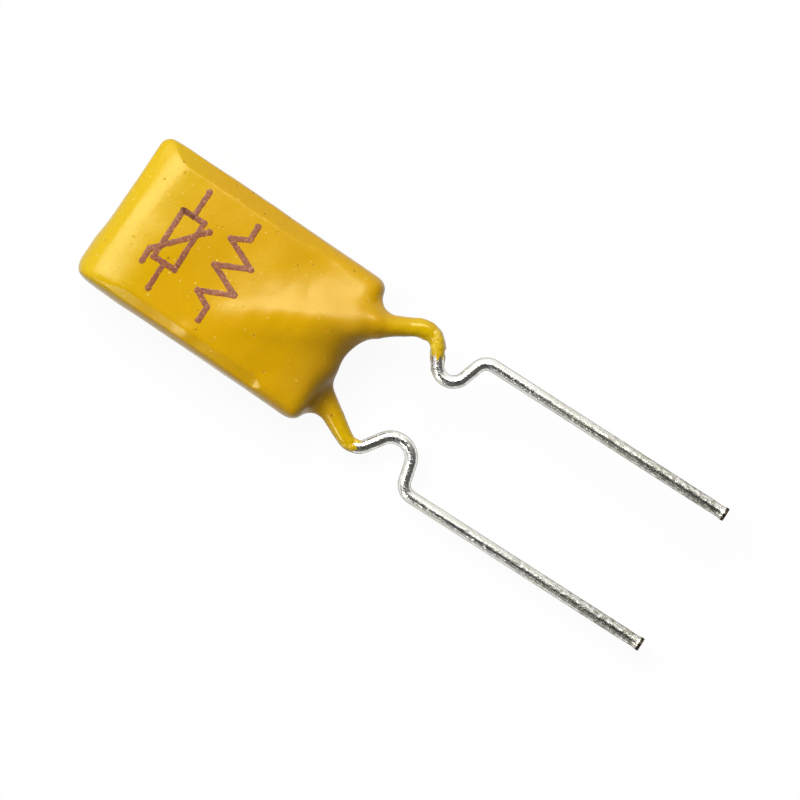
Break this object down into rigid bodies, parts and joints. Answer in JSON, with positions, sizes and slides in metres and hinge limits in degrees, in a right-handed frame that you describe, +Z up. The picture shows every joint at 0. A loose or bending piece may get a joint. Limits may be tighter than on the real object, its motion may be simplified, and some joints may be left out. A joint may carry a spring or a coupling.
{
  "type": "resettable fuse",
  "caption": "Radial-leaded resettable fuse: a flat dipped chip in glossy yellow epoxy with kinked tinned wire leads that hold it off a circuit board.",
  "frame": {"origin": "centre of the bounding box in plan, on the surface that the fuse lies on", "axes": "+X along the leads towards their tips, +Z up through the thickness of the body, out of the front face"},
  "size_m": [0.0223, 0.0059, 0.0025],
  "materials": {
    "epoxy": "gloss",
    "tinned_wire": "satin",
    "conductive_polymer": "matte",
    "nickel_foil": "satin",
    "solder": "satin"
  },
  "bodies": {
    "root": {"polymer_chip": "conductive_polymer", "front_foil": "nickel_foil", "rear_foil": "nickel_foil", "front_solder": "solder", "rear_solder": "solder", "front_lead": "tinned_wire", "rear_lead": "tinned_wire", "epoxy_coat": "epoxy"}
  },
  "joints": []
}
